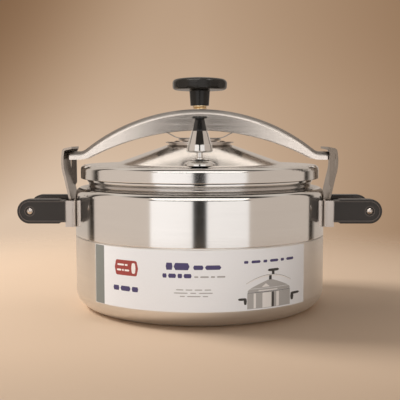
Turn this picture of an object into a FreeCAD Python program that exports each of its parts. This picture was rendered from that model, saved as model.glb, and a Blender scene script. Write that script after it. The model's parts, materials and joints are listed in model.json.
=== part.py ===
import FreeCAD, Part
import math
import os
import re
import Sketcher

# Stovetop pressure cooker. The origin is the middle of the base, +Z up, +X towards the
# right handle, -Y towards the front. Sizes are millimetres.

Vector = FreeCAD.Vector
doc = FreeCAD.newDocument("PressureCooker")

# ---------------------------------------------------------------- driving dimensions

DIMENSIONS = {
    # pot
    "pot_radius": 141, "pot_wall": 3.2, "base_thick": 5, "base_corner": 20,
    "inner_corner": 15, "wall_top": 125.5, "shoulder_round": 8, "neck_radius": 125.5,
    "neck_foot": 2.2, "neck_rise": 0.3, "neck_waist": 1.8, "neck_waist_rise": 0.4,
    "neck_round": 3.6, "bead_radius": 128, "bead_low": 139, "bead_high": 143,
    "bead_face_rise": 1.6, "bead_under_round": 2, "lip_high": 146.5,
    "groove_height": 80.5, "groove_half": 0.6, "groove_deep": 0.4,
    "label_low": 18, "label_high": 79, "label_thick": 0.2, "label_half_angle": 49.9,
    # edges and fits shared by many parts
    "snug": 0.02, "small_gap": 0.1, "edge_fine": 0.3, "edge_small": 0.5, "edge_mid": 1,
    "edge_large": 1.2,
    "thread_break": 0.6,
    # hooks and brackets
    "strap_thick": 2.5, "strap_half_width": 25, "strap_low": 92, "strap_foot": 117,
    "strap_radius": 145.9, "bulge_low": 145, "bulge_low_radius": 152, "bulge_round": 57,
    "bulge_high": 171, "bulge_high_radius": 153.9, "lip_tip_radius": 142.7,
    "lip_root_radius": 153.4, "lip_root_height": 176.3, "lip_tip_height": 178.4,
    "lip_under_rise": 0.4, "strap_bend": 4.5, "stop_low": 131, "stop_chamfer": 5,
    "stop_foot": 3, "stop_round": 14, "stop_inset": 2.6, "stop_edge_radius": 145, "stop_top": 170,
    "bracket_thick": 2, "bracket_half_width": 37, "wall_gap": 0.15,
    "bracket_low": 90, "bracket_high": 119, "bracket_bend": 1.5, "flange_end": 148.5,
    "rivet_y": 14, "rivet_low": 98.5, "rivet_high": 111, "rivet_radius": 3,
    "rivet_head_radius": 5.5, "rivet_head_high": 2.6,
    # handles
    "arm_mid_height": 107.5, "arm_half_height": 13.5, "arm_end": 201, "arm_start": 153.5,
    "arm_step": 1.4,
    "neck_half_height": 12.1, "arm_inner": 28, "arm_outer": 40.5, "arm_border": 3,
    "arm_recess": 1, "arm_edge_round": 0.9, "tongue_half_height": 9, "bolt_radius": 2.5,
    "bolt_head_radius": 3.3, "bolt_head_side": 0.7, "bolt_head_dome": 1.4,
    "counterbore_radius": 5, "counterbore_deep": 1.2,
    "handle_nut_radius": 4.6, "grip_end_radius": 8.6, "grip_round": 390,
    # lid
    "lid_radius": 135, "lid_wall": 3, "lid_low": 143.2, "lid_top": 158.2, "lid_round": 5,
    "lid_hem": 0.7, "cone_foot_radius": 95, "cone_foot_height": 159.6,
    "cone_foot_run": 7, "cone_foot_round": 20, "cone_top_radius": 37,
    "cone_top_height": 180.2, "gasket_inner": 121, "gasket_bevel": 2.4,
    "plate_radius": 38.8, "plate_base_radius": 35.5, "plate_thick": 3.7,
    "plate_flange": 1.6, "foot_recess_radius": 20.5, "foot_recess": 1,
    "plate_rivet_circle": 29.5, "plate_rivet_radius": 2, "plate_rivet_head": 3.4,
    "plate_rivet_dome": 1.2,
    # steam outlet and weight
    "vent_y": 110, "vent_thread_radius": 5, "vent_bore_radius": 1.5, "valve_reach": 12.2,
    "vent_washer_radius": 16, "vent_washer_seat": 7.8, "vent_washer_lift": 2,
    "vent_washer_rim": 1.7, "vent_washer_top_radius": 10.4, "vent_washer_top": 6.8,
    "vent_washer_dome": 12, "vent_hex_round": 12, "drill_through": 60, "drill_clear": 5,
    "vent_hex_radius": 9.6, "vent_hex_high": 2.4, "vent_stem_radius": 3.2,
    "vent_collar_radius": 4.8, "vent_collar_high": 1, "vent_stem_top": 176,
    "weight_low": 173.6, "weight_mouth_radius": 10.6, "weight_chamfer": 1.8,
    "weight_radius": 13.1, "weight_collar_radius": 12.5, "weight_collar_top": 181.2,
    "weight_cone_radius": 12, "weight_shoulder": 195, "weight_neck_radius": 8,
    "weight_spigot_radius": 3, "weight_spigot_high": 8, "weight_cavity_radius": 5.5,
    "weight_cavity_high": 10, "weight_pin_radius": 2, "weight_top": 209.5,
    "weight_cap_low_radius": 7.1, "weight_cap_high_radius": 4.7,
    "weight_flange_radius": 7.7, "weight_flange_thick": 1.7, "weight_mouth_round": 3,
    "weight_collar_step": 0.4, "weight_cap_round": 80, "weight_flange_round": 6,
    "weight_cap_edge": 0.8, "weight_flange_rise": 1.1,
    # safety valve, seals and nuts
    "safety_thread_radius": 6, "safety_hex_radius": 9, "safety_hex_high": 4.4,
    "safety_neck_high": 8, "safety_bore_radius": 4.2, "safety_bore_deep": 2,
    "safety_seat_radius": 2.5, "safety_stem_radius": 2, "safety_stem_high": 15.6,
    "safety_coil_radius": 3.1, "safety_wire": 0.35, "safety_coil_turns": 6,
    "safety_cap_radius": 7.6, "safety_cap_low": 4.6, "safety_cap_ceiling": 11.2,
    "safety_cap_top": 13.2, "seal_thick": 2.4, "vent_seal_radius": 9.8,
    "safety_seal_radius": 10, "valve_nut_high": 5.2, "vent_nut_radius": 9,
    "safety_nut_radius": 10,
    # foot, leaf spring, screw and knob
    "foot_radius": 24.2, "foot_disc_low": 185, "foot_disc_high": 187.6, "hub_radius": 10.8,
    "hub_high": 192, "journal_radius": 4, "journal_deep": 8.6, "running_gap": 0.05,
    "clip_radius": 7.5, "clip_thick": 1, "clip_low": 7.9, "clip_room": 9,
    "clip_room_high": 2.5, "leaf_thick": 0.8, "leaf_half_width": 14, "leaf_flat": 21,
    "leaf_round": 18, "leaf_rise_angle": 28, "leaf_reach": 61.5,
    "screw_radius": 8, "knob_low": 224.8, "knob_neck_top": 242, "knob_top": 256.8,
    "knob_radius": 31.25, "knob_neck_low_radius": 10.6, "knob_neck_high_radius": 11.7,
    "knob_neck_round": 1.5, "knob_under_rise": 0.6, "knob_under_radius": 27.5,
    "knob_side_low": 3.4, "knob_side_high": 7.2, "knob_under_round": 4,
    "knob_socket_radius": 5.5, "knob_socket_top": 248, "knob_crown_radius": 26.6,
    "knob_crown": 2, "knob_edge_round": 5.2, "flute_count": 8, "flute_radius": 60,
    "flute_deep": 1.3, "flute_turn": 7.5,
    # arch
    "arch_half_width": 18, "arch_sheet": 2.5, "crown_top": 220.5, "crown_round": 206,
    "web_top": 196.8, "web_round": 272, "lug_top": 172.8, "lug_low": 163.8,
    "lug_end": 148.2, "lug_round": 2, "arch_bend": 14, "arch_low_bend": 20,
    "arch_edge_round": 6, "nut_low": 206, "nut_radius": 14, "nut_collar_radius": 10,
}

sheet = doc.addObject("Spreadsheet::Sheet", "dims")
for row, (alias, size) in enumerate(DIMENSIONS.items(), start=1):
    sheet.set("A%d" % row, alias.replace("_", " "))
    sheet.set("B%d" % row, str(size))
    sheet.setAlias("B%d" % row, alias)
doc.recompute()


def formula(text):
    """A formula in words of the sheet, as an expression of the document."""
    return re.sub(r"[a-z][a-z_]+[a-z]", lambda word: (
        "dims." + word.group() if word.group() in DIMENSIONS else word.group()), str(text))


def value(text):
    """The number that a formula gives now."""
    return float(sheet.evalExpression(formula(text)))


def bind(thing, prop, text):
    thing.setExpression(prop, formula(text))


# ---------------------------------------------------------------- sketches and features

def new_body(label):
    body = doc.addObject("PartDesign::Body", label)
    body.Label = label
    return body


def new_sketch(body, plane, height="0"):
    """A sketch on one of the body's own origin planes, moved along its normal."""
    sketch = body.newObject("Sketcher::SketchObject", body.Name + "_sketch")
    support = [item for item in body.Origin.OriginFeatures if item.Role == plane][0]
    sketch.AttachmentSupport = [(support, "")]
    sketch.MapMode = "FlatFace"
    bind(sketch, "AttachmentOffset.Base.z", height)
    return sketch


def pin_point(sketch, edge, end, x_text, y_text):
    """Tie one end of an edge to the sheet."""
    for axis, text, line in (("DistanceX", x_text, -2), ("DistanceY", y_text, -1)):
        size = value(text)
        if abs(size) < 1e-9:
            sketch.addConstraint(Sketcher.Constraint("PointOnObject", edge, end, line))
            continue
        number = sketch.addConstraint(Sketcher.Constraint(axis, -1, 1, edge, end, size))
        bind(sketch, "Constraints[%d]" % number, text)


def round_edge(start, end, radius):
    """An arc from start to end; a positive radius turns left, a negative one right."""
    chord = end - start
    size = abs(radius)
    offset = math.sqrt(max(size * size - chord.Length ** 2 / 4, 0))
    left = Vector(-chord.y, chord.x, 0).normalize()
    centre = start + chord * 0.5 + left * (offset if radius > 0 else -offset)
    first, last = (start, end) if radius > 0 else (end, start)
    angle = math.atan2(first.y - centre.y, first.x - centre.x)
    sweep = math.atan2(last.y - centre.y, last.x - centre.x) - angle
    circle = Part.Circle(centre, Vector(0, 0, 1), size)
    return Part.ArcOfCircle(circle, angle, angle + sweep % (2 * math.pi))


def outline(sketch, points):
    """A closed outline. A point (x, y, r) is reached by an arc of radius r."""
    places = [Vector(value(point[0]), value(point[1]), 0) for point in points]
    ends = []
    for number, point in enumerate(points):
        start, end = places[number - 1], places[number]
        if len(point) == 3:
            radius = value(point[2])
            edge = sketch.addGeometry(round_edge(start, end, radius), False)
            ends.append((edge, 1, 2) if radius > 0 else (edge, 2, 1))
            if abs((end - start).Length - 2 * abs(radius)) < 1e-6:
                sketch.addConstraint(
                    Sketcher.Constraint("Symmetric", edge, 1, edge, 2, edge, 3))
            else:
                limit = sketch.addConstraint(
                    Sketcher.Constraint("Radius", edge, abs(radius)))
                bind(sketch, "Constraints[%d]" % limit, "abs(%s)" % point[2])
        else:
            edge = sketch.addGeometry(Part.LineSegment(start, end), False)
            ends.append((edge, 1, 2))
    for number, (edge, _, last) in enumerate(ends):
        following = ends[(number + 1) % len(ends)]
        sketch.addConstraint(
            Sketcher.Constraint("Coincident", edge, last, following[0], following[1]))
        pin_point(sketch, edge, last, points[number][0], points[number][1])


def dome_radius(edge_radius, height):
    """The radius of a dome of this height over a circle of the edge radius."""
    return "(%s^2 + %s^2) / (2 * %s)" % (edge_radius, height, height)


def circle(sketch, x_text, y_text, radius_text):
    middle = Vector(value(x_text), value(y_text), 0)
    shape = Part.Circle(middle, Vector(0, 0, 1), value(radius_text))
    edge = sketch.addGeometry(shape, False)
    pin_point(sketch, edge, 3, x_text, y_text)
    limit = sketch.addConstraint(Sketcher.Constraint("Radius", edge, value(radius_text)))
    bind(sketch, "Constraints[%d]" % limit, radius_text)


def hexagon(sketch, x_text, y_text, radius_text):
    """A hexagon by its corner radius, flats towards the front and back."""
    corners = []
    for turn in range(6):
        corners.append(("%s + %s * cos(%d deg)" % (x_text, radius_text, 60 * turn),
                        "%s + %s * sin(%d deg)" % (y_text, radius_text, 60 * turn)))
    outline(sketch, corners)


def feature(body, kind, sketch):
    made = body.newObject("PartDesign::" + kind, body.Name + "_" + kind.lower())
    made.Profile = (sketch, [""])
    return made


def turn(body, points):
    """A solid of revolution about Z, from its half section (radius, height)."""
    sketch = new_sketch(body, "XZ_Plane")
    outline(sketch, points)
    made = feature(body, "Revolution", sketch)
    made.ReferenceAxis = (sketch, ["V_Axis"])
    made.Angle = 360
    return made


def pad(body, sketch, length, both_ways=False):
    made = feature(body, "Pad", sketch)
    bind(made, "Length", length)
    made.SideType = "Symmetric" if both_ways else "One side"
    return made


def pocket(body, sketch, length, both_ways=False, upward=False):
    """A pocket against the sketch's normal, or along it when upward is set."""
    made = feature(body, "Pocket", sketch)
    bind(made, "Length", length)
    made.SideType = "Symmetric" if both_ways else "One side"
    made.Reversed = upward
    return made


def drill(body, plane, places, radius, length, height="0", both_ways=False, upward=False):
    """Round holes at the places, cut from the plane."""
    sketch = new_sketch(body, plane, height)
    for x_text, y_text in places:
        circle(sketch, x_text, y_text, radius)
    return pocket(body, sketch, length, both_ways, upward)


def blend(body, radius, wanted):
    """Fillet the edges of the body's tip that the test accepts."""
    doc.recompute()
    base = body.Tip
    names = ["Edge%d" % number for number, edge in enumerate(base.Shape.Edges, start=1)
             if wanted(edge)]
    made = body.newObject("PartDesign::Fillet", body.Name + "_fillet")
    made.Base = (base, names)
    bind(made, "Radius", radius)
    doc.recompute()
    return made


def place(body, x_text="0", y_text="0", z_text="0", half_turn=False):
    if half_turn:
        body.Placement = FreeCAD.Placement(Vector(), FreeCAD.Rotation(Vector(0, 0, 1), 180))
    for axis, text in (("x", x_text), ("y", y_text), ("z", z_text)):
        if text != "0":
            bind(body, "Placement.Base." + axis, text)


# ---------------------------------------------------------------- pot

def make_pot_shell():
    body = new_body("pot_shell")
    inner = "pot_radius - pot_wall"
    turn(body, [
        ("0", "0"),
        ("pot_radius - base_corner", "0"),
        ("pot_radius", "base_corner", "base_corner"),
        ("pot_radius", "groove_height - groove_half"),
        ("pot_radius - groove_deep", "groove_height"),
        ("pot_radius", "groove_height + groove_half"),
        ("pot_radius", "wall_top"),
        ("pot_radius - shoulder_round", "wall_top + shoulder_round", "shoulder_round"),
        ("neck_radius + neck_foot", "wall_top + shoulder_round + neck_rise"),
        ("neck_radius + neck_waist", "bead_low + neck_waist_rise", "-neck_round"),
        ("bead_radius", "bead_low + bead_face_rise", "bead_under_round"),
        ("bead_radius", "bead_high - edge_mid"),
        ("bead_radius - edge_mid", "bead_high", "edge_mid"),
        ("neck_radius", "bead_high"),
        ("neck_radius", "lip_high - edge_mid"),
        ("neck_radius - edge_mid", "lip_high", "edge_mid"),
        ("neck_radius - pot_wall", "lip_high"),
        ("neck_radius - pot_wall", "wall_top + shoulder_round - pot_wall"),
        ("pot_radius - shoulder_round", "wall_top + shoulder_round - pot_wall"),
        (inner, "wall_top", "pot_wall - shoulder_round"),
        (inner, "base_corner"),
        (inner + " - inner_corner", "base_thick", "-inner_corner"),
        ("0", "base_thick"),
    ])
    rivet_holes(body)
    return body


def make_label():
    """A sticker bent round the front of the wall."""
    body = new_body("label_sticker")
    sketch = new_sketch(body, "XY_Plane", "label_low")
    inner, outer = "(pot_radius + snug)", "(pot_radius + label_thick)"
    points = []
    for radius, sign, arc in ((inner, "", ""), (inner, "-", "-" + inner),
                              (outer, "-", ""), (outer, "", outer)):
        x_text = sign + "%s * sin(label_half_angle * 1 deg)" % radius
        y_text = "-%s * cos(label_half_angle * 1 deg)" % radius
        points.append((x_text, y_text, arc) if arc else (x_text, y_text))
    outline(sketch, points)
    pad(body, sketch, "label_high - label_low")
    return body


# ---------------------------------------------------------------- hooks and brackets

def near(x_text, z_text, reach=1.0):
    """A test for straight edges along Y that pass near a place in the XZ plane."""
    def wanted(edge):
        middle = edge.CenterOfMass
        along = abs(edge.tangentAt(edge.FirstParameter).y) > 0.99
        return (along and abs(middle.x - value(x_text)) < reach
                and abs(middle.z - value(z_text)) < reach)
    return wanted


def make_hook(label, half_turn):
    """A bent strap with a lip over the arch end and a stop flange at one edge."""
    body = new_body(label)
    lean = "strap_thick * 1.04"
    under_root = "lip_root_height - strap_thick + lip_under_rise"
    sketch = new_sketch(body, "XZ_Plane")
    outline(sketch, [
        ("strap_radius - strap_thick", "strap_low"),
        ("strap_radius", "strap_low"),
        ("strap_radius", "strap_foot"),
        ("bulge_low_radius", "bulge_low"),
        ("bulge_high_radius", "bulge_high", "bulge_round"),
        ("lip_root_radius", "lip_root_height"),
        ("lip_tip_radius", "lip_tip_height"),
        ("lip_tip_radius", "lip_tip_height - strap_thick"),
        ("lip_root_radius - strap_thick", under_root),
        ("bulge_high_radius - " + lean, "bulge_high"),
        ("bulge_low_radius - " + lean, "bulge_low", "-bulge_round"),
        ("strap_radius - strap_thick", "strap_foot"),
    ])
    pad(body, sketch, "strap_half_width * 2", both_ways=True)
    blend(body, "strap_bend", near("lip_root_radius", "lip_root_height"))
    blend(body, "strap_bend - strap_thick",
          near("lip_root_radius - strap_thick", under_root))
    flange = new_sketch(body, "XZ_Plane", "strap_half_width")
    outline(flange, [
        ("stop_edge_radius + stop_foot", "stop_low"),
        ("bulge_low_radius - edge_mid", "bulge_low + stop_chamfer"),
        ("bulge_high_radius - stop_inset", "bulge_high + stop_foot"),
        ("lip_tip_radius", "lip_tip_height - strap_thick + edge_mid"),
        ("lip_tip_radius", "lip_tip_height - strap_thick"),
        ("stop_edge_radius", "stop_top", "-stop_round"),
        ("stop_edge_radius", "stop_low + stop_chamfer"),
    ])
    pad(body, flange, "strap_thick").Reversed = True
    rivet_holes(body)
    place(body, half_turn=half_turn)
    return body


def rivet_holes(body):
    holes = [("%srivet_y" % side, height) for side in ("", "-")
             for height in ("rivet_low", "rivet_high")]
    drill(body, "YZ_Plane", holes, "rivet_radius",
          "pot_radius * 2 + drill_through", both_ways=True)


def make_bracket(label, half_turn):
    """A U-shaped bracket: a web round the wall, two flanges and two tongues."""
    body = new_body(label)
    inner = "(pot_radius + wall_gap)"
    outer = "(pot_radius + wall_gap + bracket_thick)"
    centre = "(pot_radius + wall_gap + bracket_thick + bracket_bend)"
    bend_y = "(bracket_half_width - bracket_thick - bracket_bend)"
    bend_x = "sqrt(%s^2 - %s^2)" % (centre, bend_y)
    outside = "bracket_half_width"
    inside = "(bracket_half_width - bracket_thick)"
    wide_bend = "(bracket_bend + bracket_thick)"
    sketch = new_sketch(body, "XY_Plane", "bracket_low")
    outline(sketch, [
        ("flange_end", "-" + outside),
        ("flange_end", "-" + inside),
        (bend_x, "-" + inside),
        ("%s * %s / %s" % (bend_x, outer, centre),
         "-%s * %s / %s" % (bend_y, outer, centre), "-bracket_bend"),
        ("%s * %s / %s" % (bend_x, outer, centre),
         "%s * %s / %s" % (bend_y, outer, centre), outer),
        (bend_x, inside, "-bracket_bend"),
        ("flange_end", inside),
        ("flange_end", outside),
        (bend_x, outside),
        ("%s * %s / %s" % (bend_x, inner, centre),
         "%s * %s / %s" % (bend_y, inner, centre), wide_bend),
        ("%s * %s / %s" % (bend_x, inner, centre),
         "-%s * %s / %s" % (bend_y, inner, centre), "-" + inner),
        (bend_x, "-" + outside, wide_bend),
    ])
    pad(body, sketch, "bracket_high - bracket_low")
    for face in ("bracket_half_width", "bracket_thick - bracket_half_width"):
        tongue = new_sketch(body, "XZ_Plane", face)
        tongue_outline(tongue, "tongue_half_height", "arm_mid_height")
        pad(body, tongue, "bracket_thick").Reversed = True
    rivet_holes(body)
    drill(body, "XZ_Plane", [("arm_end - arm_half_height", "arm_mid_height")],
          "bolt_radius + small_gap", "arm_outer * 2 + 10", both_ways=True)
    place(body, half_turn=half_turn)
    return body


def tongue_outline(sketch, half_height, middle):
    """A bar from just inside the flange to a round end about the handle bolt."""
    bolt = "arm_end - arm_half_height"
    start = "flange_end - edge_mid"
    outline(sketch, [
        (start, "%s - %s" % (middle, half_height)),
        (bolt, "%s - %s" % (middle, half_height)),
        (bolt, "%s + %s" % (middle, half_height), half_height),
        (start, "%s + %s" % (middle, half_height)),
    ])


def group(label, members):
    """Identical fasteners as one node of separate solids."""
    compound = doc.addObject("Part::Compound", label)
    compound.Label = label
    compound.Links = members
    return compound


def make_hook_rivets():
    first = ("sqrt((pot_radius - pot_wall)^2"
             " - (rivet_y + rivet_head_radius)^2)")
    last = "(strap_radius + snug)"
    dome = dome_radius("rivet_head_radius", "rivet_head_high")
    rivets = []
    for side in (1, -1):
        for y_text in ("rivet_y", "-rivet_y"):
            for z_text in ("rivet_low", "rivet_high"):
                rivet = new_body("hook_rivet_%d" % (len(rivets) + 1))
                turn(rivet, [
                    ("0", first + " - rivet_head_high"),
                    ("rivet_head_radius", first, dome),
                    ("rivet_radius - snug", first),
                    ("rivet_radius - snug", last),
                    ("rivet_head_radius", last),
                    ("0", last + " + rivet_head_high", dome),
                ])
                rivet.Placement.Rotation = FreeCAD.Rotation(Vector(0, 1, 0), 90 * side)
                place(rivet, y_text=y_text, z_text=z_text)
                rivets.append(rivet)
    return group("hook_rivets", rivets)


# ---------------------------------------------------------------- handles

def make_arm(label, axis):
    """One Bakelite arm: a neck, a bordered recess, a slot for the tongue and a bolt hole."""
    body = new_body(label)
    bolt = "arm_end - arm_half_height"
    sketch = new_sketch(body, "XZ_Plane", "arm_inner")
    outline(sketch, [
        ("flange_end + small_gap", "-neck_half_height"),
        ("arm_start", "-neck_half_height"),
        ("arm_start + arm_step", "-arm_half_height"),
        (bolt, "-arm_half_height"),
        (bolt, "arm_half_height", "arm_half_height"),
        ("arm_start + arm_step", "arm_half_height"),
        ("arm_start", "neck_half_height"),
        ("flange_end + small_gap", "neck_half_height"),
    ])
    pad(body, sketch, "arm_outer - arm_inner")
    blend(body, "arm_edge_round", lambda edge: (
        edge.BoundBox.YLength < 0.01 and edge.BoundBox.XLength > 3))
    recess = new_sketch(body, "XZ_Plane", "arm_outer")
    tongue_outline(recess, "(arm_half_height - arm_border)", "0")
    pocket(body, recess, "arm_recess")
    slot = new_sketch(body, "XZ_Plane", "bracket_half_width + small_gap / 2")
    tongue_outline(slot, "(tongue_half_height + small_gap)", "0")
    pocket(body, slot, "bracket_thick + small_gap")
    drill(body, "XZ_Plane", [(bolt, "0")], "bolt_radius + small_gap", "arm_outer * 2 + 10",
          both_ways=True)
    drill(body, "XZ_Plane", [(bolt, "0")], "counterbore_radius",
          "arm_recess + counterbore_deep", height="arm_outer")
    if axis:
        body.Placement = FreeCAD.Placement(Vector(), FreeCAD.Rotation(Vector(*axis), 180))
    place(body, z_text="arm_mid_height")
    return body


def across(body, side):
    """Turn a body whose axis is Z so that its top points to the front, at one handle."""
    body.Placement.Rotation = FreeCAD.Rotation(Vector(1, 0, 0), 90)
    place(body, "%s(arm_end - arm_half_height)" % side, "0", "arm_mid_height")


def make_grip(label, side):
    body = new_body(label)
    turn(body, [
        ("bolt_radius + small_gap", "small_gap - arm_inner"),
        ("grip_end_radius", "small_gap - arm_inner"),
        ("grip_end_radius", "arm_inner - small_gap", "grip_round"),
        ("bolt_radius + small_gap", "arm_inner - small_gap"),
    ])
    across(body, side)
    return body


def make_handle_bolts():
    bolts = []
    seat = "(arm_outer - arm_recess - counterbore_deep)"
    for side in ("", "-"):
        bolt = new_body("handle_bolt_%d" % (len(bolts) + 1))
        turn(bolt, [
            ("0", "thread_break - arm_outer"),
            ("bolt_radius - edge_small", "thread_break - arm_outer"),
            ("bolt_radius", "thread_break + edge_small - arm_outer"),
            ("bolt_radius", seat),
            ("bolt_head_radius", seat),
            ("bolt_head_radius", seat + " + bolt_head_side"),
            ("0", seat + " + bolt_head_side + bolt_head_dome",
             dome_radius("bolt_head_radius", "bolt_head_dome")),
        ])
        across(bolt, side)
        bolts.append(bolt)
    return group("handle_bolts", bolts)


def make_handle_nuts():
    nuts = []
    for side in ("", "-"):
        nut = new_body("handle_nut_%d" % (len(nuts) + 1))
        sketch = new_sketch(nut, "XY_Plane", "wall_gap - arm_outer")
        hexagon(sketch, "0", "0", "handle_nut_radius")
        circle(sketch, "0", "0", "bolt_radius + snug")
        pad(nut, sketch, "arm_recess + counterbore_deep - wall_gap")
        across(nut, side)
        nuts.append(nut)
    return group("handle_nuts", nuts)


# ---------------------------------------------------------------- lid

def make_lid_shell():
    body = new_body("lid_shell")
    under = "lid_top - lid_wall"
    turn(body, [
        ("0", "cone_top_height"),
        ("0", "cone_top_height - lid_wall"),
        ("cone_top_radius - edge_mid", "cone_top_height - lid_wall"),
        ("cone_foot_radius - edge_mid", "cone_foot_height - lid_wall"),
        ("cone_foot_radius + cone_foot_run - edge_mid", under),
        ("lid_radius - lid_round", under),
        ("lid_radius - lid_wall", "lid_top - lid_round", "lid_wall - lid_round"),
        ("lid_radius - lid_wall", "lid_low"),
        ("lid_radius - lid_hem", "lid_low"),
        ("lid_radius", "lid_low + lid_hem", "lid_hem"),
        ("lid_radius", "lid_top - lid_round"),
        ("lid_radius - lid_round", "lid_top", "lid_round"),
        ("cone_foot_radius + cone_foot_run", "lid_top"),
        ("cone_foot_radius", "cone_foot_height", "-cone_foot_round"),
        ("cone_top_radius", "cone_top_height"),
    ])
    top = "cone_top_height + 1"
    for place_y, radius in (("-vent_y", "vent_thread_radius + snug"),
                            ("vent_y", "safety_thread_radius + snug")):
        drill(body, "XY_Plane", [("0", place_y)], radius, "drill_through", height=top)
    drill(body, "XY_Plane", plate_rivet_places(), "plate_rivet_radius", "2 * drill_clear",
          height=top)
    return body


def plate_rivet_places():
    return [("plate_rivet_circle * cos(%d deg)" % angle,
             "plate_rivet_circle * sin(%d deg)" % angle) for angle in (90, 210, 330)]


def make_lid_gasket():
    """A rubber ring of L section, over the lip and down to the bead."""
    body = new_body("lid_gasket")
    outer = "lid_radius - lid_wall - small_gap"
    top = "lid_top - lid_wall - small_gap"
    turn(body, [
        ("gasket_inner", "lip_high + edge_small"),
        ("neck_radius + edge_small", "lip_high + edge_small"),
        ("neck_radius + edge_small", "bead_high"),
        (outer, "bead_high"),
        (outer, top + " - gasket_bevel"),
        (outer + " - gasket_bevel", top),
        ("gasket_inner", top),
    ])
    return body


def make_thrust_plate():
    """A plate with a raised flange and a shallow seat for the foot."""
    body = new_body("thrust_plate")
    low = "cone_top_height + snug"
    high = "cone_top_height + plate_thick"
    turn(body, [
        ("0", low),
        ("plate_base_radius - edge_small", low),
        ("plate_base_radius", low + " + edge_small", "edge_small"),
        ("plate_base_radius", high + " - plate_flange"),
        ("plate_radius - edge_small", high + " - plate_flange + edge_fine"),
        ("plate_radius", high + " - plate_flange + edge_fine + edge_small", "edge_small"),
        ("plate_radius", high + " - edge_fine"),
        ("plate_radius - edge_fine", high, "edge_fine"),
        ("foot_recess_radius", high),
        ("foot_recess_radius", high + " - foot_recess"),
        ("0", high + " - foot_recess"),
    ])
    drill(body, "XY_Plane", plate_rivet_places(), "plate_rivet_radius", "2 * drill_clear",
          height="cone_top_height + drill_clear")
    return body


def make_plate_rivets():
    low = "(cone_top_height - lid_wall - snug)"
    high = "(cone_top_height + plate_thick + snug)"
    dome = dome_radius("plate_rivet_head", "plate_rivet_dome")
    rivets = []
    for x_text, y_text in plate_rivet_places():
        rivet = new_body("plate_rivet_%d" % (len(rivets) + 1))
        turn(rivet, [
            ("0", low + " - plate_rivet_dome"),
            ("plate_rivet_head", low, dome),
            ("plate_rivet_radius - snug", low),
            ("plate_rivet_radius - snug", high),
            ("plate_rivet_head", high),
            ("0", high + " + plate_rivet_dome", dome),
        ])
        place(rivet, x_text, y_text)
        rivets.append(rivet)
    return group("thrust_plate_rivets", rivets)


# ---------------------------------------------------------------- steam outlet

def hex_nut(label, place_y, thread_radius, corner_radius):
    """A nut that clamps a valve from inside the lid."""
    body = new_body(label)
    low = "lid_top - lid_wall - seal_thick - snug - valve_nut_high"
    sketch = new_sketch(body, "XY_Plane", low)
    hexagon(sketch, "0", "0", corner_radius)
    circle(sketch, "0", "0", thread_radius + " + snug")
    pad(body, sketch, "valve_nut_high")
    place(body, y_text=place_y)
    return body


def seal_ring(label, place_y, thread_radius, outer_radius):
    body = new_body(label)
    low = "lid_top - lid_wall - seal_thick"
    high = "lid_top - lid_wall - snug"
    turn(body, [
        (thread_radius + " + small_gap", low),
        (outer_radius, low),
        (outer_radius, high),
        (thread_radius + " + small_gap", high),
    ])
    place(body, y_text=place_y)
    return body


def make_vent_washer():
    """A domed washer that rests on its middle; its rim stands clear of the lid."""
    body = new_body("vent_washer")
    low = "lid_top + 2 * snug"
    rim = "lid_top + vent_washer_lift"
    top = "lid_top + vent_washer_top"
    turn(body, [
        ("vent_thread_radius + small_gap", low),
        ("vent_washer_seat", low),
        ("vent_washer_radius - edge_fine", rim),
        ("vent_washer_radius", rim + " + edge_fine", "edge_fine"),
        ("vent_washer_radius", rim + " + vent_washer_rim"),
        ("vent_washer_top_radius", top, "vent_washer_dome"),
        ("vent_thread_radius + small_gap", top),
    ])
    place(body, y_text="-vent_y")
    return body


def make_vent_nozzle():
    """A threaded tube with a chamfered hexagon, a collar and the weight's stem."""
    body = new_body("vent_nozzle")
    base = "lid_top + vent_washer_top"
    hexagon_top = base + " + vent_hex_high"
    collar = hexagon_top + " + vent_collar_high"
    turn(body, [
        ("0", "lid_top - valve_reach"),
        ("vent_thread_radius - thread_break", "lid_top - valve_reach"),
        ("vent_thread_radius", "lid_top - valve_reach + thread_break"),
        ("vent_thread_radius", base),
        ("vent_hex_radius * cos(30 deg)", base),
        ("vent_hex_radius * cos(30 deg)", base + " + edge_mid"),
        ("vent_collar_radius", hexagon_top, "vent_hex_round"),
        ("vent_collar_radius", collar),
        ("vent_stem_radius", collar + " + edge_small"),
        ("vent_stem_radius", "vent_stem_top - edge_mid"),
        ("vent_stem_radius - edge_mid", "vent_stem_top"),
        ("0", "vent_stem_top"),
    ])
    sketch = new_sketch(body, "XY_Plane", base)
    hexagon(sketch, "0", "0", "vent_hex_radius")
    pad(body, sketch, "edge_mid")
    drill(body, "XY_Plane", [("0", "0")], "vent_bore_radius", "drill_through",
          height="vent_stem_top + edge_mid")
    place(body, y_text="-vent_y")
    return body


# ---------------------------------------------------------------- safety valve

def make_safety_body():
    """A threaded body with a seat; its bore holds the plunger and the spring."""
    body = new_body("safety_body")
    flat = "safety_hex_radius - edge_large"
    low = "lid_top - valve_reach"
    turn(body, [
        ("safety_seat_radius", low),
        ("safety_thread_radius - thread_break", low),
        ("safety_thread_radius", low + " + thread_break"),
        ("safety_thread_radius", "lid_top + 2 * snug"),
        (flat, "lid_top + 2 * snug"),
        (flat, "lid_top + safety_hex_high"),
        ("safety_thread_radius", "lid_top + safety_hex_high"),
        ("safety_thread_radius", "lid_top + safety_neck_high"),
        ("safety_bore_radius", "lid_top + safety_neck_high"),
        ("safety_bore_radius", "lid_top - safety_bore_deep"),
        ("safety_seat_radius", "lid_top - safety_bore_deep"),
    ])
    sketch = new_sketch(body, "XY_Plane", "lid_top + 2 * snug")
    hexagon(sketch, "0", "0", "safety_hex_radius")
    circle(sketch, "0", "0", "safety_thread_radius - edge_small")
    pad(body, sketch, "safety_hex_high - 2 * snug")
    place(body, y_text="vent_y")
    return body


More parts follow.
